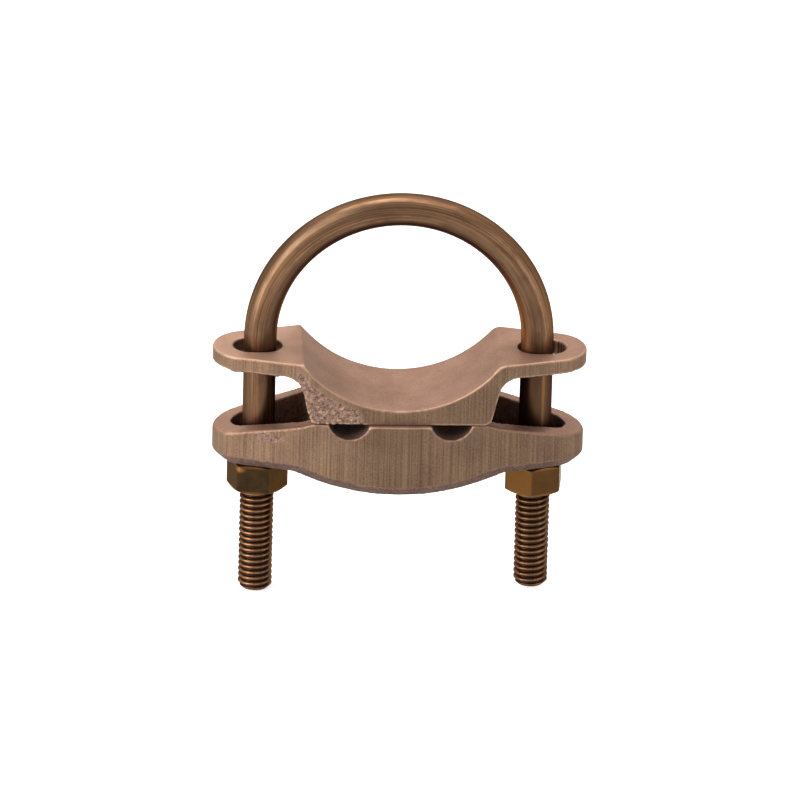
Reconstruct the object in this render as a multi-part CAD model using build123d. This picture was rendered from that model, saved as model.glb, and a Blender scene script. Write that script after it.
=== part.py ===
from math import hypot, radians, sqrt, tan
import os

from build123d import *

os.makedirs("parts", exist_ok=True)

# Earthing pipe clamp in bronze: a U-bolt round the pipe, a cast saddle under the pipe, a cast
# keeper that presses earthing conductors up against the saddle, and two nuts.
# Millimetres. X runs across the clamp from leg to leg, Y along the pipe, Z up.
# The origin is on the pipe's axis, at half the depth of the saddle.

# The pipe, and the rod and thread of the U-bolt (5/16 inch, 18 threads an inch)
pipe_r = 28.0  # largest pipe that the clamp takes
bolt_play = 0.05  # between pipe and U-bolt
rod_d = 7.5  # plain rod, a little thinner than the thread rolled on it
thread_d = 7.9  # over the thread's crests
bolt_shift = -0.3  # the loose bolt hangs a little to one side of its slots
arch_rise = 2.1  # the bend starts this far above the saddle's ears
reach_left = 60.5  # tip of the left leg below the top of the ears
reach_right = 59.1
thread_len = 34.0
thread_runout = 0.4
tip_chamfer = 0.9

# Saddle casting
seat_play = 0.3  # between pipe and seat
ear_land = 4.63  # flat of the ear between the seat's edge and the slot
seat_wall = 3.55  # metal under the lowest point of the seat
saddle_depth = 25.0
foot_gap = 11.2  # from the leg's centre in to the end of the flat foot
flank_lean = 14.0  # degrees that the flanks lean out above the foot
flank_blend_r = 4.5
foot_corner_r = 2.2
shoulder_out = 0.4  # the ears start to taper this far beyond the foot
shoulder_r = 9.0
ear_thick = 3.4
ear_end_r = 8.5
ear_end_wall = 4.7  # metal beyond the slot
lip_left_r = 0.5  # edge between seat and ear, crisp on the left
lip_right_r = 3.0  # and well rounded on the right
saddle_bevel = 0.3

# Slots that the legs pass through
slot_play = 0.2  # on each side of the thread, across the slot
slot_travel = 3.25  # how far a leg can shift along its slot
slot_offset = 0.875  # slot centre outboard of the leg's true place

# Keeper casting
keeper_depth = 28.0  # at mid length
keeper_overhang = 10.9  # end of the keeper beyond the leg's centre
keeper_end_r = 8.0
pad_margin = 0.8  # the pad under the saddle's foot is this much smaller at each end
pad_step = 1.0
pad_run = 2.8
pad_blend_r = 8.0
arm_fall = 4.3  # fall of the arm's top from the pad's step to the end
belly = 18.0  # height at mid length
seat_height = 13.3  # height from the pad down to the nuts' bearing faces
belly_gap = 1.7  # between the end of the belly and the nut's bearing face
belly_blend_r = 5.0
cast_edge = 2.6  # the lower edge is eased this much all round, as cast
rim_end = 4.0  # wall round the pockets, at the ends
rim_side = 2.9  # and at mid length
floor_t = 4.0  # web under the pockets
pocket_under = 1.4  # the pockets reach this far in under the saddle's foot
pocket_corner_r = 2.2
pocket_draft = 3.0
slot_room = 0.1  # the keeper's slots are this much wider on each side than the saddle's

# Conductor grooves in the keeper's pad
groove_r = 4.9
groove_depth = 3.35
groove_in = 8.8  # from the end of the foot in to the groove's centre

# Hexagon nuts
nut_af = 12.5
nut_height = 7.15
nut_clearance = 0.05  # radial running clearance over the thread
nut_bevel = 25.0  # degrees of the corner bevels
nut_face_d = 11.9  # diameter of the flat inside the bevels
nut_turn_left = -9.5  # degrees from a flat facing the front
nut_turn_right = 22.9

# Levels and places that follow from the sizes above
rod_r = rod_d / 2
thread_r = thread_d / 2
leg_x = pipe_r + bolt_play + rod_r
slot_x = leg_x + slot_offset
slot_len = thread_d + slot_travel
slot_w = thread_d + 2 * slot_play
seat_r = pipe_r + seat_play
seat_half = slot_x - slot_len / 2 - ear_land
foot_half = leg_x - foot_gap
ear_reach = slot_x + slot_len / 2 + ear_end_wall
keeper_reach = leg_x + keeper_overhang
belly_half = leg_x - nut_face_d / 2 - belly_gap
ear_z = -sqrt(seat_r**2 - seat_half**2)
arch_z = ear_z + arch_rise
foot_z = -(seat_r + seat_wall)
nut_seat_z = foot_z - seat_height


def along_y(profile, depth):
    """Solid of an XZ profile, centred on the XZ plane."""
    return extrude(Plane.XZ * profile, depth / 2, both=True)


def leg(x, tip_z):
    """Straight leg with its rolled thread, a little fatter than the plain rod, and a bevelled tip."""
    half = Polyline(
        (0, tip_z),
        (thread_r - tip_chamfer, tip_z),
        (thread_r, tip_z + tip_chamfer),
        (thread_r, tip_z + thread_len - thread_runout),
        (rod_r, tip_z + thread_len),
        (rod_r, arch_z),
        (0, arch_z),
        close=True,
    )
    return Pos(x, 0, 0) * revolve(Plane.XZ * make_face(half), Axis.Z)


def make_u_bolt():
    """Round rod bent to a half circle over two straight threaded legs."""
    bend = Pos(leg_x, 0, 0) * Circle(rod_r)
    arch = revolve(bend, Axis.Y, revolution_arc=-180)
    arch = Pos(0, 0, arch_z) * arch
    bolt = arch + leg(-leg_x, ear_z - reach_left) + leg(leg_x, ear_z - reach_right)
    return Pos(bolt_shift, 0, 0) * bolt


def slot_pair(width, z_low, z_high):
    """Through slots for both legs, from z_low to z_high."""
    outline = SlotOverall(slot_len + width - slot_w, width)
    pair = Pos(-slot_x, 0) * outline + Pos(slot_x, 0) * outline
    return Pos(0, 0, z_low) * extrude(pair, z_high - z_low)


def make_saddle():
    """Upper casting: round seat above, flat foot below, an ear with a slot at each side."""
    under_ear = ear_z - ear_thick
    flank_x = foot_half + (under_ear - foot_z) * tan(radians(flank_lean))
    side = Polyline(
        (-ear_reach, ear_z),
        (-ear_reach, under_ear),
        (-flank_x, under_ear),
        (-foot_half, foot_z),
        (foot_half, foot_z),
        (flank_x, under_ear),
        (ear_reach, under_ear),
        (ear_reach, ear_z),
        close=True,
    )
    profile = make_face(side)
    roots = profile.vertices().filter_by_position(Axis.X, -flank_x - 1, flank_x + 1)
    profile = fillet(roots.group_by(Axis.Y)[-1], flank_blend_r)
    profile = fillet(profile.vertices().group_by(Axis.Y)[0], foot_corner_r)
    profile -= Circle(seat_r)
    lips = profile.vertices().group_by(Axis.Y)[-1].sort_by(Axis.X)
    profile = fillet(lips[1], lip_left_r)
    lips = profile.vertices().group_by(Axis.Y)[-1].sort_by(Axis.X)
    profile = fillet(lips[-2], lip_right_r)

    shoulder_half = foot_half + shoulder_out
    middle = Rectangle(2 * shoulder_half, saddle_depth)
    ear_ends = Pos(-(ear_reach - ear_end_r), 0) * Circle(ear_end_r)
    ear_ends += Pos(ear_reach - ear_end_r, 0) * Circle(ear_end_r)
    plan = make_hull(middle.edges() + ear_ends.edges())
    shoulders = plan.vertices().filter_by_position(Axis.X, -shoulder_half - 1, shoulder_half + 1)
    plan = fillet(shoulders, shoulder_r)

    blank = along_y(profile, saddle_depth + 2) & Pos(0, 0, foot_z - 1) * extrude(plan, ear_z - foot_z + 2)
    blank -= slot_pair(slot_w, under_ear - 1, ear_z + 1)
    rims = blank.faces().filter_by(Plane.XY).group_by(Axis.Z)[-1].edges()
    return chamfer(rims, saddle_bevel)


def keeper_plan(half, reach, end_r):
    """Outline from above: two long bows that run smoothly into round ends."""
    end_x = reach - end_r
    bow_r = (end_x**2 + half**2 - end_r**2) / (2 * (half - end_r))
    run = hypot(end_x, bow_r - half)
    join_x = end_x * bow_r / run
    join_y = (bow_r - half) * (bow_r / run - 1)
    upper = ThreePointArc((-join_x, join_y), (0, half), (join_x, join_y))
    right = ThreePointArc((join_x, join_y), (reach, 0), (join_x, -join_y))
    lower = ThreePointArc((join_x, -join_y), (0, -half), (-join_x, -join_y))
    left = ThreePointArc((-join_x, -join_y), (-reach, 0), (-join_x, join_y))
    return make_face([upper, right, lower, left])


def keeper_profile():
    """Side view: level pad, arms that fall to the ends, bowed belly between flat nut seats."""
    pad = foot_half - pad_margin
    arms = Polyline(
        (-keeper_reach, nut_seat_z),
        (-keeper_reach, foot_z - pad_step - arm_fall),
        (-pad - pad_run, foot_z - pad_step),
        (-pad, foot_z),
        (pad, foot_z),
        (pad + pad_run, foot_z - pad_step),
        (keeper_reach, foot_z - pad_step - arm_fall),
        (keeper_reach, nut_seat_z),
        close=True,
    )
    profile = make_face(arms)
    profile = fillet(profile.vertices().group_by(Axis.Y)[-2], pad_blend_r)
    drop = belly - seat_height
    belly_r = (drop**2 + belly_half**2) / (2 * drop)
    bow = Pos(0, foot_z - belly + belly_r) * Circle(belly_r)
    bow &= Pos(0, nut_seat_z - belly / 2) * Rectangle(2 * keeper_reach, belly)
    profile += bow
    seat_ends = profile.vertices().filter_by_position(Axis.Y, nut_seat_z - 0.01, nut_seat_z + 0.01)
    return fillet(seat_ends.sort_by(Axis.X)[1:-1], belly_blend_r)


def keeper_pockets():
    """Room for one pocket at each end, drafted, from above the arms down to the web."""
    inner_x = foot_half - pocket_under
    top = foot_z + 1
    depth = top - nut_seat_z - floor_t
    floor_plan = keeper_plan(keeper_depth / 2 - rim_side, keeper_reach - rim_end, keeper_end_r - rim_end)
    rooms = []
    for side in (-1, 1):
        outline = floor_plan & Pos(side * (inner_x + keeper_reach) / 2, 0) * Rectangle(
            keeper_reach - inner_x, keeper_depth
        )
        outline = fillet(outline.vertices().sort_by(Axis.X)[::side][:2], pocket_corner_r)
        room = extrude(outline, -depth, taper=pocket_draft)
        rooms.append(Pos(0, 0, top) * room)
    return rooms


def make_keeper():
    """Lower casting: grooved pad, sloping arms with open pockets, bowed belly, flat nut seats."""
    body = along_y(keeper_profile(), keeper_depth + 2)
    plan = keeper_plan(keeper_depth / 2, keeper_reach, keeper_end_r)
    body &= Pos(0, 0, foot_z - belly - 1) * extrude(plan, belly + 2)
    sides = body.faces().filter_by(lambda f: abs(f.normal_at().Z) < 0.01)
    lower_faces = body.faces().filter_by(lambda f: f.normal_at().Z < -0.05)
    lower_edges = ShapeList([e for e in lower_faces.edges() if e in sides.edges()])
    body = chamfer(lower_edges, cast_edge)

    body -= keeper_pockets()
    for side in (-1, 1):
        groove = Cylinder(groove_r, 2 * keeper_depth, rotation=(90, 0, 0))
        body -= Pos(side * (foot_half - groove_in), 0, foot_z - groove_depth + groove_r) * groove
    body -= slot_pair(slot_w + 2 * slot_room, nut_seat_z - 1, foot_z)
    return body


def make_nut(x, turn):
    """Hexagon nut under the keeper, both ends bevelled, bored to run on the thread."""
    blank = extrude(RegularPolygon(nut_af / 2, 6, major_radius=False), nut_height)
    far = nut_af
    rise = (far - nut_face_d / 2) * tan(radians(nut_bevel))
    bevels = Polyline(
        (0, 0),
        (nut_face_d / 2, 0),
        (far, rise),
        (far, nut_height - rise),
        (nut_face_d / 2, nut_height),
        (0, nut_height),
        close=True,
    )
    nut = blank & revolve(Plane.XZ * make_face(bevels), Axis.Z)
    bore = thread_r + nut_clearance
    nut -= Pos(0, 0, nut_height / 2) * Cylinder(bore, 2 * nut_height)
    return Pos(bolt_shift + x, 0, nut_seat_z - nut_height) * Rot(0, 0, turn) * nut


nodes = {
    "u_bolt": make_u_bolt(),
    "pipe_saddle": make_saddle(),
    "conductor_keeper": make_keeper(),
    "nut_left": make_nut(-leg_x, nut_turn_left),
    "nut_right": make_nut(leg_x, nut_turn_right),
}

for name, solid in nodes.items():
    export_step(solid, f"parts/{name}.step")
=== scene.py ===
import bmesh
import bpy
import numpy as np
from mathutils import Matrix, Vector


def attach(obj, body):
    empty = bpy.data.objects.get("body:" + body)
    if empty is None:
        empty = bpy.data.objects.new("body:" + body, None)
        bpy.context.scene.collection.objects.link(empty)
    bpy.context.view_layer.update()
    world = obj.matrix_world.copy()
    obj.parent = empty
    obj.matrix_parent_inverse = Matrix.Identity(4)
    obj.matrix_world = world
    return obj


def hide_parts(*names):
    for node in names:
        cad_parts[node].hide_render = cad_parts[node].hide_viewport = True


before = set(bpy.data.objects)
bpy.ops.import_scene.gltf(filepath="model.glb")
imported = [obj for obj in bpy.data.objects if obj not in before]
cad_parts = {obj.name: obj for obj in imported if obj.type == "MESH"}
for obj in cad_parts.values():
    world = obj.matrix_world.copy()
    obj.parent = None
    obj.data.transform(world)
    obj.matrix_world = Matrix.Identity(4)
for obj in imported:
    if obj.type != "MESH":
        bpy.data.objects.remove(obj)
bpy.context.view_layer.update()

# U-bolt. Silicon bronze rod, drawn to 7.5 mm, bent to a half circle in the middle and rolled
# with a 5/16 inch thread of 18 turns an inch on both legs. It hangs loose in the castings'
# slots and carries everything else.

# Sizes and places in millimetres, as in the CAD model. Those in the sections below are too.
PITCH = 25.4 / 18
CREST = 3.95  # radius over the thread's crests
ROOT = 3.14  # radius at the thread's roots
ROD = 3.75  # radius of the plain rod
TIP = 3.02  # radius of the flat at the tip, inside a bevel of 45 degrees
LEG_X = 31.8
BOLT_X = -0.3  # the bolt hangs this far to the side of the saddle's middle
ARCH_Z = -15.104
TIPS = (-77.704, -76.304)
THREAD = 34.0
# The thread runs out into the rod over FADE_OVER, and has ended this far above the tip.
FADE_END = THREAD + 2.3
FADE_OVER = 2.2
# The painted shade on the legs between the castings sets in and fades out between these levels.
BAND_TOP = (-18.4, -20.8)
BAND_FOOT = (-47, -45)
# Fineness of the mesh: rows in one turn of the thread, and points around the rod.
ROWS_A_TURN = 14
AROUND = 96


def slope(values, low, high):
    """0 below low and 1 above high, with a straight slope between. High may be below low."""
    return np.clip((values - low) / (high - low), 0, 1)


def bell(values, middle, width):
    """1 at the middle, falling away on both sides as exp(-1) at the width."""
    return np.exp(-((values - middle) / width) ** 2)


def thread_height(z, angle):
    """Height of the thread from 0 at its root to 1 at its crest, for a right-hand helix.

    The phase is z over the pitch, less the angle over a full turn. The flank is a straight slope
    between a crest and a root of about a fifth of the pitch each, eased at both ends by a sine.
    """
    phase = z / PITCH - angle / (2 * np.pi)
    away = np.abs(2 * (phase - np.floor(phase)) - 1)
    flank = slope(away, 0.20, 0.84)
    return 1 - (0.55 * flank + 0.45 * (0.5 - 0.5 * np.cos(np.pi * flank)))


def lattice_noise(points, size, seed):
    """Smooth random value from -1 to 1 at each point: values on a cubic lattice of that size,
    each hashed from its cell number, blended by cubic weights."""
    place = np.asarray(points, float) / size
    cell = np.floor(place).astype(np.int64)
    part = place - cell
    part = part * part * (3 - 2 * part)
    total = np.zeros(place.shape[:-1])
    for dx in (0, 1):
        for dy in (0, 1):
            for dz in (0, 1):
                key = (cell[..., 0] + dx) * 73856093 ^ (cell[..., 1] + dy) * 19349663
                key = key ^ (cell[..., 2] + dz) * 83492791 ^ seed * 2654435761
                key = (key ^ (key >> 13)) * 1274126177
                key = (key ^ (key >> 16)) & 0xFFFF
                weight = np.where(dx, part[..., 0], 1 - part[..., 0])
                weight = weight * np.where(dy, part[..., 1], 1 - part[..., 1])
                weight = weight * np.where(dz, part[..., 2], 1 - part[..., 2])
                total += weight * (key / 32767.5 - 1)
    return total


def rod_path():
    """Centre, outward direction, height on the leg and reach from its tip, row by row.

    The rows go from the left tip up, over the arch and down to the right tip. On a leg the centre
    moves straight up or down. On the arch it is the circle of LEG_X about ARCH_Z, the height is
    left at 0 and the reach is infinite.
    """
    legs = []
    for side, tip in zip((-1.0, 1.0), TIPS):
        threaded = np.arange(tip, tip + FADE_END + 0.1, PITCH / ROWS_A_TURN)
        plain = np.linspace(threaded[-1], ARCH_Z, 32)[1:]
        z = np.concatenate([threaded, plain])
        centre = np.stack([np.full_like(z, side * LEG_X), z], axis=1)
        out = np.stack([np.full_like(z, side), np.zeros_like(z)], axis=1)
        legs.append((centre, out, z, z - tip))
    turn = np.linspace(np.pi, 0, 110)[1:-1]
    out = np.stack([np.cos(turn), np.sin(turn)], axis=1)
    bend = (out * LEG_X + [0, ARCH_Z], out, np.zeros_like(turn), np.full_like(turn, np.inf))
    left, right = legs[0], tuple(column[::-1] for column in legs[1])
    return [np.concatenate(columns) for columns in zip(left, bend, right)]


def rod_radius(z, reach, angle, on_leg):
    """Radius at each point, and how deep it lies in the thread: 0 at the crests, 1 at the roots.

    The radius is the root's, plus the thread's height times the gap between crest and root. Above
    the full thread it fades into the plain rod's, and at the tip it is no more than the bevel's,
    TIP plus the reach.
    """
    # Dents take up to a tenth off the thread's height.
    dents = 0.10 * np.clip(lattice_noise(on_leg, 0.9, 5), 0, 1)
    height = thread_height(z, angle) * (1 - dents)
    fade = slope(reach, FADE_END, FADE_END - FADE_OVER)
    threaded = ROOT + (CREST - ROOT) * height
    run_out = ROD + (CREST - ROD) * fade * height
    radius = np.where(fade >= 1, threaded, threaded * fade + run_out * (1 - fade))
    radius = np.minimum(radius, TIP + reach)
    depth = np.clip((CREST - radius) / (CREST - ROOT), 0, 1) * fade * (reach > 0.5)
    return radius, depth


def rod_oxide(centre, reach, angle, around, depth, on_leg):
    """How much painted shade and how much painted highlight each point gets, both from 0 to 1.

    Angles are in radians from +X, so -1.57 faces the front. Painted shade darkens the inside of
    the crown and the legs between the castings, and a little of the front just above the saddle.
    Painted highlights lie on the thread's crests at the front left, on the inner side of the right
    leg above the saddle, and as a line down each leg between the castings.
    """
    left = centre[:, :1] < 0
    crown = slope(centre[:, 1:], -4, 12) * slope(-np.cos(around), 0.1, 0.6)
    level = centre[:, 1:] + 0.8 * lattice_noise(on_leg, 2.2, 6)
    between = slope(level, *BAND_TOP) * slope(level, *BAND_FOOT)
    above = (1 - between) * slope(level, 3, -7) * (level > -20)
    dark = 0.9 * crown + between * np.where(left, 0.42, 0.8)
    dark = dark + 0.35 * above * np.clip(-np.sin(around), 0, 1)

    crests = slope(depth, 0.625, 0) * (reach < THREAD) * bell(angle, -2.04, 0.40)
    inner_side = above * ~left * bell(angle, -2.6, 0.40)
    line = slope(level, -11, -19) * (reach > THREAD) * bell(angle, np.where(left, -1.87, -1.16), 0.09)
    rubbed = crests * np.where(left, 0.40, 0.28) + 0.4 * inner_side
    return dark, np.maximum(rubbed, line * np.where(left, 0.05, 0.24))


def swept_rod():
    """Points of the rod in rows, and for each point its place along and across the rod, its
    depth in the thread, its painted shade and its painted highlight.

    The section's first direction points away from the arch's centre and the second along +Y.
    """
    centre, out, z, reach = rod_path()
    z, reach = z[:, None], reach[:, None]
    around = np.linspace(0, 2 * np.pi, AROUND, endpoint=False)[None]
    side = np.where(centre[:, :1] < 0, -1.0, 1.0)
    angle = np.arctan2(np.sin(around), side * np.cos(around))
    on_leg = np.stack([3 * np.cos(angle), 3 * np.sin(angle), z + 0 * angle], axis=-1)
    radius, depth = rod_radius(z, reach, angle, on_leg)
    dark, rubbed = rod_oxide(centre, reach, angle, around, depth, on_leg)

    across = np.cos(around)[..., None] * out[:, None, :]
    grid = np.empty((len(centre), AROUND, 3))
    grid[..., 0] = centre[:, :1] + radius * across[..., 0] + BOLT_X
    grid[..., 1] = radius * np.sin(around)
    grid[..., 2] = centre[:, 1:] + radius * across[..., 1]
    steps = np.linalg.norm(np.diff(centre, axis=0), axis=1)
    place = np.empty_like(grid)
    place[..., 0] = np.concatenate([[0], np.cumsum(steps)])[:, None]
    place[..., 1] = ROD * np.cos(around)
    place[..., 2] = ROD * np.sin(around)
    return grid, place, depth, dark, rubbed


def tube(name, grid, ring=False):
    """Mesh of a grid of points in mm, rows along and columns round.

    Every row closes on itself. The rows close too if ring is set, and otherwise a point at the
    middle of each end row closes the tube with a fan.
    """
    rows, columns = grid.shape[:2]
    number = np.arange(rows * columns).reshape(rows, columns)
    following = np.roll(number, -1, axis=1)
    if ring:
        upper, upper_next = np.roll(number, -1, axis=0), np.roll(following, -1, axis=0)
        lower, lower_next = number, following
    else:
        upper, upper_next = number[1:], following[1:]
        lower, lower_next = number[:-1], following[:-1]
    quads = np.stack([lower, upper, upper_next, lower_next], axis=-1).reshape(-1, 4)
    points = grid.reshape(-1, 3)
    faces = quads.tolist()
    if not ring:
        points = np.vstack([points, grid[0].mean(axis=0), grid[-1].mean(axis=0)])
        first, last = rows * columns, rows * columns + 1
        faces += np.stack([number[0], following[0], np.full(columns, first)], axis=-1).tolist()
        faces += np.stack([following[-1], number[-1], np.full(columns, last)], axis=-1).tolist()
    mesh = bpy.data.meshes.new(name)
    mesh.from_pydata((points / 1000).tolist(), [], faces)
    mesh.polygons.foreach_set("use_smooth", np.ones(len(faces), dtype=bool))
    mesh.update()
    return mesh


def keep_values(mesh, **fields):
    """Stores each field, one number or one vector per vertex, as an attribute of that name."""
    for name, values in fields.items():
        values = np.asarray(values, dtype=np.float32)
        vector = values.ndim == 2
        attribute = mesh.attributes.new(name, "FLOAT_VECTOR" if vector else "FLOAT", "POINT")
        attribute.data.foreach_set("vector" if vector else "value", values.ravel())


def show(name, mesh):
    """Puts a finished mesh into the scene, unturned and unscaled at the origin."""
    piece = bpy.data.objects.new(name, mesh)
    bpy.context.scene.collection.objects.link(piece)
    return piece


grid, place, depth, dark, rubbed = swept_rod()
bolt_mesh = tube("u_bolt_rod", grid)
# The middle points of the two tips come last in the mesh.
tip_places = [[0, 0, 0], [place[-1, 0, 0], 0, 0]]
keep_values(
    bolt_mesh,
    rod_place=np.vstack([place.reshape(-1, 3), tip_places]) / 1000,
    thread_depth=np.append(depth, [0.3, 0.3]),
    # Painted shade, then painted highlight.
    dark_oxide=np.append(dark, [0, 0]),
    rubbed=np.append(rubbed, [0, 0]),
)
u_bolt = show("u_bolt_rod", bolt_mesh)


def paint(hex_colour):
    """Linear colour of an sRGB hex value."""
    parts = [int(hex_colour[i:i + 2], 16) / 255 for i in (1, 3, 5)]
    return [c / 12.92 if c <= 0.04045 else ((c + 0.055) / 1.055) ** 2.4 for c in parts] + [1.0]


def add(tree, kind, inputs=(), **settings):
    """Adds one node. Settings are its own properties, and inputs holds, by name or number, the
    value of each socket or the socket that feeds it."""
    node = tree.nodes.new("ShaderNode" + kind)
    for name, value in settings.items():
        setattr(node, name, value)
    for name, value in dict(inputs).items():
        if isinstance(value, bpy.types.NodeSocket):
            tree.links.new(value, node.inputs[name])
        else:
            node.inputs[name].default_value = value
    return node


def field(tree, name):
    """The number that keep_values stored under that name."""
    return add(tree, "Attribute", attribute_name=name).outputs["Fac"]


def noise(tree, where, scale, detail, roughness):
    """Noise at a place in metres. Scale is how many cells a metre holds, in each direction."""
    stretched = add(tree, "Mapping", {"Vector": where, "Scale": scale}, vector_type="POINT").outputs[0]
    inputs = {"Vector": stretched, "Scale": 1.0, "Detail": detail, "Roughness": roughness}
    return add(tree, "TexNoise", inputs).outputs[0]


def even_noise(tree, where, scale, detail, roughness):
    """Noise at a place in metres, the same in all directions."""
    inputs = {"Vector": where, "Scale": scale, "Detail": detail, "Roughness": roughness}
    return add(tree, "TexNoise", inputs).outputs[0]


def spread(tree, value, low, high, at_low=0.0, at_high=1.0):
    """The values from low to high stretched to run from at_low to at_high, and held beyond."""
    return add(tree, "MapRange", {0: value, 1: low, 2: high, 3: at_low, 4: at_high}).outputs[0]


def blend(tree, share, first, second):
    """Colour that is the first, with that share of the second. Each is a hex value or a socket."""
    first, second = (paint(c) if isinstance(c, str) else c for c in (first, second))
    return add(tree, "Mix", {0: share, 6: first, 7: second}, data_type="RGBA").outputs[2]


def scaled(tree, colour, factor):
    """Colour made darker or lighter by a factor."""
    return add(tree, "VectorMath", {0: colour, "Scale": factor}, operation="SCALE").outputs[0]


def new_material(name):
    """Empty node material and its tree."""
    material = bpy.data.materials.new(name)
    material.use_nodes = True
    material.node_tree.nodes.clear()
    return material, material.node_tree


def metal_surface(tree, colour, metallic, tint, rough, height, depth, strength):
    """Metal with a bump of that depth in metres, as the material's surface."""
    bump = add(tree, "Bump", {"Strength": strength, "Distance": depth, "Height": height})
    metal = add(tree, "BsdfPrincipled", {
        "Base Color": colour, "Metallic": metallic, "Roughness": rough,
        "Specular Tint": paint(tint), "Normal": bump.outputs[0],
    })
    add(tree, "OutputMaterial", {"Surface": metal.outputs[0]})


# Drawn silicon bronze with a brown-gold oxide: lengthwise draw lines, softly mirror-like along
# the rod, patches of darker and of olive oxide and dark old oil in the thread's roots. Painted
# shade darkens the inside of the bend and the legs between the castings, and painted
# highlights lie on the thread's crests and down the legs.
drawn_bronze, tree = new_material("drawn_silicon_bronze")
place = add(tree, "Attribute", attribute_name="rod_place").outputs["Vector"]
# Draw lines 0.25 mm wide and about 30 mm long, as coarse as the picture can show them.
lines = noise(tree, place, (30, 4200, 4200), 3.0, 0.6)
# Broad bands 1.2 mm wide and 70 mm long, and oxide patches of 2 by 6 mm.
bands = noise(tree, place, (14, 850, 850), 2.0, 0.5)
patches = noise(tree, place, (160, 480, 480), 5.0, 0.6)
colour = blend(tree, spread(tree, lines, 0.36, 0.66), "#50382A", "#8C684A")
colour = blend(tree, spread(tree, bands, 0.40, 0.62, 0.0, 0.75), colour, "#574534")
colour = blend(tree, spread(tree, patches, 0.46, 0.70, 0.0, 0.6), colour, "#432F22")
# Painted shade on the inside of the bend, between the castings and on the front above the saddle.
colour = blend(tree, field(tree, "dark_oxide"), colour, "#38261A")
# Painted highlights on the crests, the right leg's inner side and in lines down the legs.
colour = blend(tree, field(tree, "rubbed"), colour, "#AE7950")
grime = spread(tree, field(tree, "thread_depth"), 0.24, 0.80, 0.0, 0.88)
colour = blend(tree, grime, colour, "#2E1D13")
rough = spread(tree, patches, 0.3, 0.7, 0.27, 0.42)
metal_surface(tree, colour, 0.9, "#A0968C", rough, lines, 0.00005, 0.3)
bolt_mesh.materials.append(drawn_bronze)
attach(u_bolt, "bolt")
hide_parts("u_bolt")

# Pipe saddle. Sand-cast bronze. The seat and the tops of the ears are smooth, the faces at the
# front and back and the ears' edges are ground on a belt, and one corner that the belt missed
# still has its rough cast skin. It rests on the keeper with its ears round the bolt's legs.

SEAT_R = 28.3
EAR_Z = -17.204
UNDER_EAR_Z = EAR_Z - 3.4
FOOT_Z = -31.85
SADDLE_VOXEL = 0.28  # size of the casting's mesh quads


def ramp(values, low, high):
    """0 below low and 1 above high, with an eased slope between. High may be below low."""
    t = slope(values, low, high)
    return t * t * (3 - 2 * t)


def neighbour_mean(values, edges):
    """Mean of each vertex's neighbours, from the list of edges."""
    flat = values if values.ndim == 2 else values[:, None]
    total = np.zeros_like(flat, dtype=float)
    count = np.bincount(edges.ravel(), minlength=len(flat))[:, None]
    for column in range(flat.shape[1]):
        total[:, column] += np.bincount(edges[:, 0], flat[edges[:, 1], column], len(flat))
        total[:, column] += np.bincount(edges[:, 1], flat[edges[:, 0], column], len(flat))
    mean = total / np.maximum(count, 1)
    return mean if values.ndim == 2 else mean[:, 0]


def refined_casting(node_name, voxel, lumps=()):
    """Mesh, points in mm and edges of a finely meshed, slightly softened copy of a CAD solid.

    The solid's loose triangles are merged, round lumps join it, each given by its centre and its
    half sizes, and a voxel remesh gives even quads of the voxel's size. Each vertex then moves
    towards the mean of its neighbours and back, four times, which takes the steps out and leaves
    edges about a voxel round.
    """
    shell = bmesh.new()
    shell.from_mesh(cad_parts[node_name].data)
    bmesh.ops.remove_doubles(shell, verts=shell.verts, dist=2e-6)
    for centre, size in lumps:
        made = bmesh.ops.create_icosphere(shell, subdivisions=3, radius=1.0)
        for vert in made["verts"]:
            vert.co = Vector(np.multiply(vert.co, size) / 1000 + np.array(centre) / 1000)
    rough_mesh = bpy.data.meshes.new("rough")
    shell.to_mesh(rough_mesh)
    shell.free()
    holder = bpy.data.objects.new("rough", rough_mesh)
    bpy.context.scene.collection.objects.link(holder)
    remesh = holder.modifiers.new("voxels", "REMESH")
    remesh.mode = "VOXEL"
    remesh.voxel_size = voxel / 1000
    evaluated = holder.evaluated_get(bpy.context.evaluated_depsgraph_get())
    mesh = bpy.data.meshes.new_from_object(evaluated)
    bpy.data.objects.remove(holder)
    bpy.data.meshes.remove(rough_mesh)

    points = np.empty(len(mesh.vertices) * 3)
    mesh.vertices.foreach_get("co", points)
    points = points.reshape(-1, 3) * 1000
    edges = np.empty(len(mesh.edges) * 2, dtype=np.int64)
    mesh.edges.foreach_get("vertices", edges)
    edges = edges.reshape(-1, 2)
    for _ in range(4):
        for share in (0.5, -0.52):
            points = points + share * (neighbour_mean(points, edges) - points)
    return mesh, points, edges


def place_vertices(mesh, points):
    """Moves the mesh's vertices to these places in mm and returns their new normals."""
    mesh.vertices.foreach_set("co", (points / 1000).ravel())
    mesh.update()
    normals = np.empty(len(mesh.vertices) * 3)
    mesh.vertices.foreach_get("normal", normals)
    mesh.polygons.foreach_set("use_smooth", np.ones(len(mesh.polygons), dtype=bool))
    return normals.reshape(-1, 3)


def edge_roundness(points, normals, edges):
    """How far each vertex stands out from its neighbours along its normal, in mm, smoothed:
    positive on outer edges, negative in corners."""
    out = np.einsum("ij,ij->i", points - neighbour_mean(points, edges), normals)
    for _ in range(2):
        out = 0.5 * out + 0.5 * neighbour_mean(out, edges)
    return out


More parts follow.
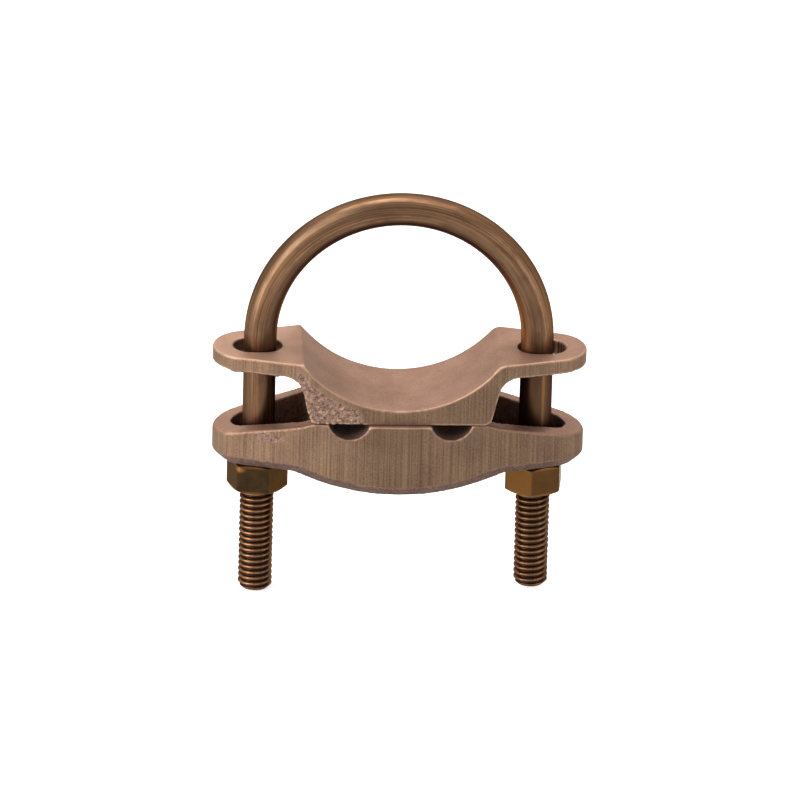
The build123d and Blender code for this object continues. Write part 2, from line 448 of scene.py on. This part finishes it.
# Flash hangs under the front of the left ear, where the mould halves met, as two burrs and a
# low ridge between them, and there is a little more under the back of each slot.
BURRS = (
    ((-37.6, -6.3, -20.75), (1.5, 1.0, 0.60)),
    ((-28.4, -8.9, -20.75), (0.9, 1.0, 0.55)),
    ((-34.6, -7.5, -20.55), (3.6, 0.7, 0.35)),
    ((35.6, 4.75, -20.55), (2.6, 0.55, 0.60)),
    ((-36.6, 4.75, -20.55), (1.9, 0.55, 0.60)),
)
saddle_mesh, points, edges = refined_casting("pipe_saddle", SADDLE_VOXEL, BURRS)
normals = place_vertices(saddle_mesh, points)
x, y, z = points.T

# The rough patch: a triangle on the left of the front face, under the seat's lip, whose long
# side falls from the ear's root to the foot, left of its middle.
long_side = ramp((x + 7.0) + 0.95 * (z + 31.2), 0.8, -0.8)
under_lip = ramp(np.hypot(x, z), SEAT_R + 1.2, SEAT_R + 1.9)
patch = long_side * under_lip * ramp(-y, 9, 11) * ramp(x, -8, -9.5) * ramp(x, -24.3, -23.3)
patch = patch * ramp(z + 0.5 * lattice_noise(points, 1.2, 10), EAR_Z - 1.6, EAR_Z - 2.6)
# The underside and the flash are as cast too.
under = ramp(-normals[:, 2], 0.25, 0.6)
burr = ramp(z, UNDER_EAR_Z + 0.15, UNDER_EAR_Z - 0.1) * ramp(x, -26.0, -27.0)
cast_skin = np.maximum(np.maximum(patch, under), burr)
grains = lattice_noise(points, 0.70, 11) + 0.7 * lattice_noise(points, 0.45, 12)
waves = lattice_noise(points, 5.0, 13)
# The core left upright ribs 0.7 mm apart on the right slot's end wall.
ribs = ramp(x, 34.8, 35.6) * ramp(np.abs(y), 4.3, 4.1) * ramp(np.abs(normals[:, 2]), 0.5, 0.3)
ribs = ribs * ramp(x * normals[:, 0], 0, -0.2) * (0.5 + 0.5 * np.sin(y * 9.0 + 0.4))
lift = grains * (0.15 * patch + 0.05 * under) + 0.035 * waves + 0.16 * ribs - 0.14 * patch
points = points + normals * lift[:, None]
normals = place_vertices(saddle_mesh, points)

# Edges are rubbed bright and carry a painted highlight, the ribs get a painted highlight, and
# the top of the left ear is a little paler from painted light.
worn = 0.95 * ramp(edge_roundness(points, normals, edges), 0.011, 0.038) * (1 - under)
ear_top = ramp(x, -22.5, -26) * ramp(z, EAR_Z - 0.6, EAR_Z - 0.2) * ramp(normals[:, 2], 0.8, 0.95)
paler = 0.32 * ear_top * (0.8 + 0.2 * lattice_noise(points, 2.5, 14))
worn = np.maximum(np.maximum(worn, paler), 0.9 * ramp(ribs, 0.5, 0.9))
keep_values(
    saddle_mesh,
    cast_skin=cast_skin,
    belt_ground=ramp(np.abs(normals[:, 2]), 0.5, 0.3) * (1 - cast_skin),
    # Rubbed edges with a painted highlight, and painted light on the left ear's top and the ribs.
    edge_wear=worn,
    # Painted shade on the underside and on the flash burrs.
    recess=np.maximum(0.4 * under, burr),
    grain_height=grains,
    # Painted light on the front's left and, half as strong, on the right end.
    belt_pressure=ramp(x, -40.5, -35) * ramp(x, -6, -18) + 0.5 * ramp(x, 24, 31),
)
saddle = show("saddle_casting", saddle_mesh)

# Leaded bronze from a sand mould, dulled in store. The belt leaves upright scratches with a
# yellow shine in them, and the cast skin is grainy and purplish. Edges are rubbed bright with a
# painted highlight along them, painted light brightens some faces, and the deep hollows and
# undersides are darkened with a dark brown painted shade.
cast_bronze, tree = new_material("sand_cast_bronze")
where = add(tree, "TexCoord").outputs["Object"]
skin = field(tree, "cast_skin")
ground = field(tree, "belt_ground")
# Blotches of 6 mm in the oxide, and grains of 0.4 mm in all the surfaces.
blotch = even_noise(tree, where, 170.0, 4.0, 0.55)
grain = even_noise(tree, where, 2500.0, 2.0, 0.7)
blotch_part = spread(tree, blotch, 0.35, 0.65)
smooth_colour = blend(tree, blotch_part, "#7E6050", "#8C6C5B")
# Belt scratches 0.4 mm apart that run the whole height, standing upright, among broader strokes
# 1 mm apart. Their strength comes and goes over 9 mm.
belt_lines = noise(tree, where, (2600, 2600, 12), 4.0, 0.7)
strokes = noise(tree, where, (1000, 1000, 12), 2.0, 0.6)
strength = even_noise(tree, where, 110.0, 1.0, 0.5)
scratch = add(tree, "Mix", {0: 0.18, 2: belt_lines, 3: strokes}, data_type="FLOAT").outputs[0]
dull = blend(tree, blotch_part, "#503B30", "#5C493C")
bright = blend(tree, strength, "#665042", "#846A50")
ground_colour = blend(tree, spread(tree, scratch, 0.35, 0.65), dull, bright)
# Painted light: the ground faces are up to 1.3 times as bright at the left of the front.
bite = spread(tree, field(tree, "belt_pressure"), 0.0, 1.0, 1.0, 1.30)
colour = blend(tree, ground, smooth_colour, scaled(tree, ground_colour, bite))
# The cast skin is dark between its lumps and between its grains.
lumps = spread(tree, field(tree, "grain_height"), -0.8, 0.9)
grain_part = spread(tree, grain, 0.36, 0.64)
grain_part = add(tree, "Mix", {0: 0.45, 2: grain_part, 3: lumps}, data_type="FLOAT").outputs[0]
colour = blend(tree, skin, colour, blend(tree, grain_part, "#4A352D", "#A18272"))
colour = scaled(tree, colour, spread(tree, grain, 0.3, 0.7, 0.80, 1.20))
# Painted shade in the hollows, on the undersides and on the burrs.
colour = blend(tree, field(tree, "recess"), colour, "#403230")
# Rubbed edges with a painted highlight, and painted light on the left ear's top and the ribs.
colour = blend(tree, field(tree, "edge_wear"), colour, "#B8957C")
relief = add(tree, "Mix", {0: ground, 2: grain, 3: belt_lines}, data_type="FLOAT").outputs[0]
rough = spread(tree, skin, 0.0, 1.0, 0.46, 0.60)
metal_surface(tree, colour, 0.55, "#B09C8A", rough, relief, 0.00012, 0.5)
saddle_mesh.materials.clear()
saddle_mesh.materials.append(cast_bronze)
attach(saddle, "saddle")
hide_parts("pipe_saddle")

# Conductor keeper. Sand-cast bronze like the saddle: belt-ground all round its sides, with the
# round lower edge and the underside left as cast, two round-bottomed grooves across its pad for
# the earthing conductors, and an open pocket round each leg.

NUT_SEAT_Z = -45.15
POCKET_FLOOR_Z = NUT_SEAT_Z + 4.0
POCKET_X = 19.25  # the inner wall of each pocket
GROOVE_X = 11.8
GROOVE_Z = -30.3
GROOVE_R = 4.9
KEEPER_VOXEL = 0.33
DIP_X = -29.5  # the shallow hollow that the belt missed
DIP_Z = -36.3

keeper_mesh, points, edges = refined_casting("conductor_keeper", KEEPER_VOXEL)
normals = place_vertices(keeper_mesh, points)
x, y, z = points.T
# Belt and handling rounded the rim's outer edge, and the underside is soft all over, as cast.
outward = normals[:, 0] * x / 40 + normals[:, 1] * y / 14
rim = ramp(edge_roundness(points, normals, edges), 0.008, 0.03) * ramp(outward, 0.05, 0.25)
rim = rim * ramp(z, POCKET_FLOOR_Z, POCKET_FLOOR_Z + 1.5) * ramp(np.abs(x), 15, 24)
for _ in range(3):
    rim = np.maximum(rim, neighbour_mean(rim, edges))
soft = np.maximum(rim, ramp(-normals[:, 2], 0.45, 0.75))
for _ in range(12):
    points = points + 0.5 * soft[:, None] * (neighbour_mean(points, edges) - points)
normals = place_vertices(keeper_mesh, points)
x, y, z = points.T

# Inside a pocket or a groove: walls that face the middle, the inner end wall, and the floor.
side_wall = (y * normals[:, 1] < 0) & (np.abs(normals[:, 1]) > 0.3)
outer_wall = (x * normals[:, 0] < 0) & (np.abs(normals[:, 0]) > 0.3)
inner_wall = (np.abs(np.abs(x) - POCKET_X) < 1.25) & (np.abs(normals[:, 0]) > 0.6) & (np.abs(y) < 9.5)
floor = (normals[:, 2] > 0.4) & (z < POCKET_FLOOR_Z + 0.95)
pocket = (side_wall | outer_wall | inner_wall | floor) & (z > NUT_SEAT_Z + 0.2)
groove = np.abs(np.hypot(np.abs(x) - GROOVE_X, z - GROOVE_Z) - GROOVE_R) < 0.25
groove = (groove & (z < FOOT_Z - 0.15)).astype(float)
hollow = pocket * (0.5 + 0.5 * ramp(z, FOOT_Z - 0.3, FOOT_Z - 2.6))
hollow = np.maximum(hollow, groove)
for _ in range(2):
    hollow = 0.4 * hollow + 0.6 * neighbour_mean(hollow, edges)
    groove = 0.4 * groove + 0.6 * neighbour_mean(groove, edges)

# The belt reached the upright sides but not the round lower edge, nor a shallow dip at the left
# of the front, which both keep their cast skin with a wavy border.
border = 0.16 * lattice_noise(points, 4.0, 21) + 0.08 * lattice_noise(points, 1.3, 22)
under = ramp(-normals[:, 2] + border, 0.10, 0.30)
dip = bell(x, DIP_X, 4.6) * bell(z + 0.10 * (x - DIP_X), DIP_Z, 1.25)
dip = dip * ramp(-y, 6, 8) * ramp(-normals[:, 1], 0.5, 0.8)
missed = ramp(dip + 1.2 * border, 0.45, 0.62) * ramp(dip, 0.12, 0.3)
cast_skin = np.maximum(np.maximum(under, missed) * (1 - hollow), 0.5 * hollow)
grains = lattice_noise(points, 0.8, 23) + 0.5 * lattice_noise(points, 0.45, 24)
waves = lattice_noise(points, 6.0, 25)
points = points + normals * (0.05 * grains * cast_skin + 0.035 * waves - 0.18 * dip)[:, None]
normals = place_vertices(keeper_mesh, points)

# Painted shade: dark in the grooves and on the underside, less so in the pockets and the dip.
dark = np.maximum(0.6 * groove, 0.25 * ramp(z, FOOT_Z - 4, FOOT_Z - 9) * hollow)
dark = np.maximum(dark, 0.55 * under + 0.22 * missed * (1 - under))
keep_values(
    keeper_mesh,
    cast_skin=cast_skin,
    belt_ground=ramp(np.abs(normals[:, 2]), 0.5, 0.3) * (1 - cast_skin),
    # Rubbed edges with a painted highlight along them.
    edge_wear=0.75 * ramp(edge_roundness(points, normals, edges), 0.018, 0.062) * (1 - under),
    recess=dark,
    grain_height=grains,
    # Painted light on the front's left.
    belt_pressure=ramp(x, -39.5, -32) * ramp(x, -6, -18),
)
keeper = show("keeper_casting", keeper_mesh)
keeper_mesh.materials.clear()
keeper_mesh.materials.append(cast_bronze)
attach(keeper, "keeper")
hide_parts("conductor_keeper")

# Nuts. Hexagon bar of silicon bronze, turned with a bevel at both ends, tapped for the bolt's
# thread and run up by hand against the keeper. They are darker than the bolt, with a brown oxide.

NUT_FLATS = 12.5
NUT_CORNER = 7.19  # radius that the hexagon's corners are eased to
NUT_TALL = 7.15
NUT_FACE = 6.0  # radius of the flat face inside the bevel
BEVEL = np.radians(25)
THREAD_PLAY = 0.06
SINK = 4.25  # radius of the countersink at the face
# Rows of the nuts' mesh up the outside and down the bore
OUTER_ROWS = 40
INNER_ROWS = 62


def soft_least(a, b, ease):
    """The smaller of two values, with the corner between them rounded over about ease."""
    gap = np.clip(0.5 + 0.5 * (b - a) / ease, 0, 1)
    return b * (1 - gap) + a * gap - ease * gap * (1 - gap)


def nut_grid(leg_x, turn):
    """Closed ring of rows: up the outside, in over the top, down the thread, out at the bottom.

    The outside radius is the smaller of two: the hexagon's, which is half the flats over the
    cosine of the angle from the nearest flat, and the bevel's, which is the face's plus the height
    from the nearer end over the bevel's tangent. The bore is the bolt's own thread at that place,
    plus the play, opened by a countersink. Also gives which points are inside the bore, which lie
    on a bevel, and the number of each point's flat, counted from the turn onwards.
    """
    around = np.linspace(0, 2 * np.pi, AROUND, endpoint=False)[::-1]
    even = np.linspace(0, 1, OUTER_ROWS)
    outer_z = NUT_TALL * (0.5 * even + 0.25 - 0.25 * np.cos(np.pi * even))
    inner_z = np.linspace(NUT_TALL, 0, INNER_ROWS)
    off_flat = np.mod(around - turn, np.pi / 3) - np.pi / 6
    hexagon = soft_least(NUT_FLATS / 2 / np.cos(off_flat), NUT_CORNER, 0.06)
    end_gap = np.minimum(outer_z, NUT_TALL - outer_z)[:, None]
    outer_r = soft_least(hexagon, NUT_FACE + end_gap / np.tan(BEVEL), 0.22)
    z = NUT_SEAT_Z - NUT_TALL + np.concatenate([outer_z, inner_z])
    height = thread_height(z[OUTER_ROWS:, None], around)
    sink = SINK - 1.1 * np.minimum(inner_z, NUT_TALL - inner_z)[:, None]
    bore = np.maximum(ROOT + (CREST - ROOT) * height + THREAD_PLAY, sink)
    radius = np.concatenate([outer_r, bore])
    grid = np.empty((len(z), AROUND, 3))
    grid[..., 0] = BOLT_X + leg_x + radius * np.cos(around)
    grid[..., 1] = radius * np.sin(around)
    grid[..., 2] = z[:, None]
    inside = np.zeros_like(radius)
    inside[OUTER_ROWS:] = 1
    bevelled = np.zeros_like(radius)
    bevelled[:OUTER_ROWS] = ramp(end_gap, 0.9, 0.2)
    flat = np.mod(around - turn, 2 * np.pi) // (np.pi / 3)
    return grid, inside, bevelled, np.tile(flat.astype(int), (len(z), 1))


def corner_spot(grid, leg_x, degrees):
    """A spot of about 1 mm below the nut's upper corner at that angle, 1 in its middle."""
    angle = np.arctan2(grid[..., 1], grid[..., 0] - BOLT_X - leg_x)
    off_corner = np.angle(np.exp(1j * (angle - np.radians(degrees))))
    return bell(off_corner, 0, 0.16) * bell(NUT_SEAT_Z - grid[..., 2], 1.1, 0.55)


# Silicon bronze under an olive-brown oxide: smooth flats with faint rolling lines along the bar,
# a turned bevel that is rubbed brighter and a dark bore. Some flats are more golden, partly in
# tone and partly from painted light, and one corner has a painted highlight.
nut_bronze, tree = new_material("silicon_bronze_brown_oxide")
where = add(tree, "TexCoord").outputs["Object"]
# Blotches of 4 mm and fine upright rolling lines of 0.4 mm.
blotch = even_noise(tree, where, 240.0, 4.0, 0.6)
bar_lines = noise(tree, where, (2400, 2400, 160), 2.0, 0.6)
colour = blend(tree, spread(tree, blotch, 0.35, 0.68), "#20160D", "#352716")
# More golden flats: partly the nut's tone, partly painted light.
colour = blend(tree, field(tree, "thin_oxide"), colour, "#6A4620")
# Rubbed bevels, and the painted highlight at the left nut's corner.
rub_part = add(tree, "Math", {0: field(tree, "rubbed"), 1: 0.40}, operation="MULTIPLY", use_clamp=True)
colour = blend(tree, rub_part.outputs[0], colour, "#84592F")
colour = blend(tree, field(tree, "thread_depth"), colour, "#22160E")
rough = spread(tree, blotch, 0.3, 0.7, 0.24, 0.40)
metal_surface(tree, colour, 0.9, "#C4B8A4", rough, bar_lines, 0.00004, 0.25)

# A highlight is painted below this corner of the left nut.
RUBBED_CORNER = 230.5  # degrees, the left nut's front left corner
# Side, place, turn in degrees, and how golden each flat is, partly tone and partly painted light.
NUTS = (
    ("left", -LEG_X, -9.5, (0.1, 0.1, 0.1, 0.02, 0.0, 0.24)),
    ("right", LEG_X, 22.9, (0.28, 0.28, 0.28, 0.72, 0.28, 0.28)),
)
for side, leg_x, turn, golden in NUTS:
    grid, inside, rubbed, flat = nut_grid(leg_x, np.radians(turn))
    if side == "left":
        # One upper corner gets an orange painted highlight.
        spot = corner_spot(grid, leg_x, RUBBED_CORNER)
        rubbed = np.maximum(rubbed, 2.5 * spot * (1 - inside))
    nut_mesh = tube("hexagon_nut_" + side, grid, ring=True)
    # The tone of each flat, partly painted light.
    thin_oxide = np.array(golden)[flat].ravel()
    keep_values(nut_mesh, thread_depth=inside.ravel(), rubbed=rubbed.ravel(), thin_oxide=thin_oxide)
    nut_mesh.materials.append(nut_bronze)
    nut = show("hexagon_nut_" + side, nut_mesh)
    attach(nut, side + "_nut")
    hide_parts("nut_" + side)

# Studio. A white table under the clamp, soft boxes over it and at its sides, and a camera with
# a long lens that looks down on it at the photograph's angle.

FLOOR_Z = -77.9  # just under the tip of the longer leg
FLOOR_HALF = 6.0  # metres


def seen_directly(tree):
    """1 for what the camera sees, also in a reflection or through glass, and 0 for lighting."""
    path = add(tree, "LightPath").outputs
    seen = add(tree, "Math", {0: path["Is Camera Ray"], 1: path["Is Glossy Ray"]}, operation="MAXIMUM")
    seen = add(tree, "Math", {0: seen.outputs[0], 1: path["Is Transmission Ray"]}, operation="MAXIMUM")
    return seen.outputs[0]


table = bpy.data.meshes.new("table_top")
corners = [(-1, -1), (1, -1), (1, 1), (-1, 1)]
corners = [(FLOOR_HALF * cx, FLOOR_HALF * cy, FLOOR_Z / 1000) for cx, cy in corners]
table.from_pydata(corners, [], [(0, 1, 2, 3)])
# Matt white: a light grey that takes the clamp's shadow, with what it lacks for white added as a
# glow that is seen but lights nothing.
white_table, tree = new_material("white_table")
plain = add(tree, "BsdfDiffuse", {"Color": (0.6, 0.6, 0.6, 1)})
lit = add(tree, "Math", {0: seen_directly(tree), 1: 0.72}, operation="MULTIPLY")
glow = add(tree, "Emission", {"Color": (1, 1, 1, 1), "Strength": lit.outputs[0]})
both = add(tree, "AddShader", {0: plain.outputs[0], 1: glow.outputs[0]})
add(tree, "OutputMaterial", {"Surface": both.outputs[0]})
table.materials.append(white_table)
show("table_top", table)

# The room is white where it is seen and lights the clamp with a third of that.
world = bpy.data.worlds.new("studio")
world.use_nodes = True
tree = world.node_tree
tree.nodes.clear()
level = spread(tree, seen_directly(tree), 0.0, 1.0, 0.35, 1.0)
sky = add(tree, "Background", {"Color": (1, 1, 1, 1), "Strength": level})
add(tree, "OutputWorld", {"Surface": sky.outputs[0]})
bpy.context.scene.world = world

# Soft boxes: name, place and aim in metres, width and height in metres, and power in watts.
# Two low strips, at the left and right, put the long highlights on the legs and the nuts.
SOFT_BOXES = (
    ("top_box", (0.0, 0.12, 0.80), (0, 0, 0), (0.9, 0.30), 7.0),
    ("back_box", (0.0, 0.95, 0.70), (0, 0, 0), (2.2, 0.6), 7.0),
    ("left_box", (-0.50, -0.28, 0.40), (0, 0, 0), (0.5, 0.5), 3.6),
    ("left_strip", (-0.25, -0.10, 0.03), (0, 0, 0.03), (0.12, 0.21), 0.50),
    ("right_strip", (0.22, -0.12, 0.03), (0, 0, 0.03), (0.12, 0.21), 0.16),
)
for name, spot, target, (wide, tall), power in SOFT_BOXES:
    lamp = bpy.data.lights.new(name, "AREA")
    lamp.shape = "RECTANGLE"
    lamp.size, lamp.size_y, lamp.energy = wide, tall, power
    holder = bpy.data.objects.new(name, lamp)
    holder.rotation_euler = (Vector(target) - Vector(spot)).to_track_quat("-Z", "Y").to_euler()
    holder.location = spot
    holder.visible_camera = False
    bpy.context.scene.collection.objects.link(holder)

# Camera fitted to the photograph: turned 2.9 degrees, 23.6 degrees down, tilted 1.6 degrees,
# with its place in metres.
CAMERA_YAW, CAMERA_PITCH, CAMERA_ROLL = np.radians([-2.916, -23.594, 1.563])
CAMERA_PLACE = (-0.174174, -3.425972, 1.467398)
FOCAL_LENGTH = 733.3  # millimetres, on a sensor 36 mm wide

flat_ahead = np.array([-np.sin(CAMERA_YAW), np.cos(CAMERA_YAW), 0])
flat_right = np.array([np.cos(CAMERA_YAW), np.sin(CAMERA_YAW), 0])
ahead = flat_ahead * np.cos(CAMERA_PITCH) + np.array([0, 0, np.sin(CAMERA_PITCH)])
flat_up = np.cross(flat_right, ahead)
right = np.cos(CAMERA_ROLL) * flat_right + np.sin(CAMERA_ROLL) * flat_up
up = np.cos(CAMERA_ROLL) * flat_up - np.sin(CAMERA_ROLL) * flat_right
lens = bpy.data.cameras.new("camera")
lens.sensor_width, lens.lens, lens.clip_end = 36, FOCAL_LENGTH, 100
camera = bpy.data.objects.new("camera", lens)
axes = np.column_stack([right, up, -ahead, CAMERA_PLACE])
camera.matrix_world = Matrix(axes.tolist() + [[0, 0, 0, 1]])
bpy.context.scene.collection.objects.link(camera)
bpy.context.scene.camera = camera
bpy.context.scene.view_settings.view_transform = "Standard"
